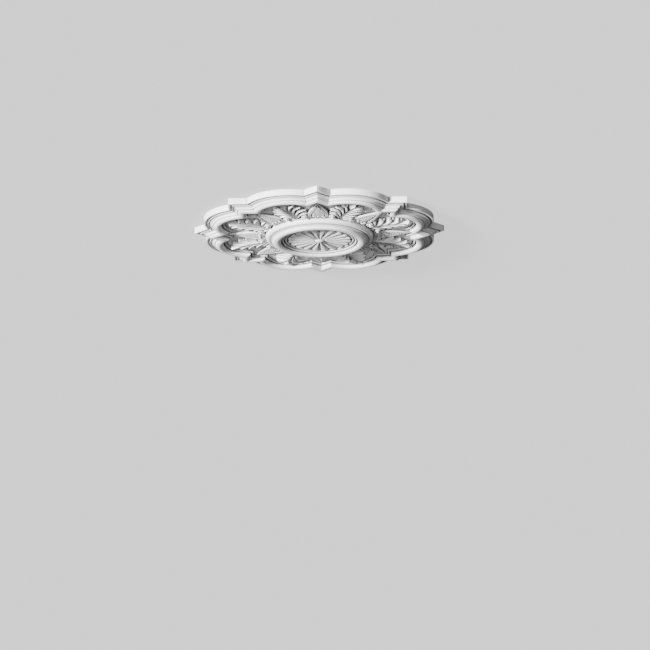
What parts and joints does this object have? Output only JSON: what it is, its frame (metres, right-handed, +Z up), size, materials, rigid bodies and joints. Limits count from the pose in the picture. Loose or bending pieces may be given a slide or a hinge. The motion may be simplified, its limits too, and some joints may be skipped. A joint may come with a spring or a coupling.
{
  "type": "ceiling rose",
  "caption": "Eight-lobed relief ceiling rose with pointed tips: stepped frame moulding, acanthus leaves, netted shields and a ring round a gadrooned rosette.",
  "frame": {"origin": "centre of the flat back, in the ceiling's plane", "axes": "+Z up into the ceiling, along the rose's axis; the relief hangs down to -Z; a pointed tip looks along each of +X, -X, +Y and -Y"},
  "size_m": [0.72, 0.72, 0.0516],
  "materials": {
    "white_casting": "matt white primer"
  },
  "bodies": {
    "root": {"ceiling_rose": "white_casting"}
  },
  "joints": []
}
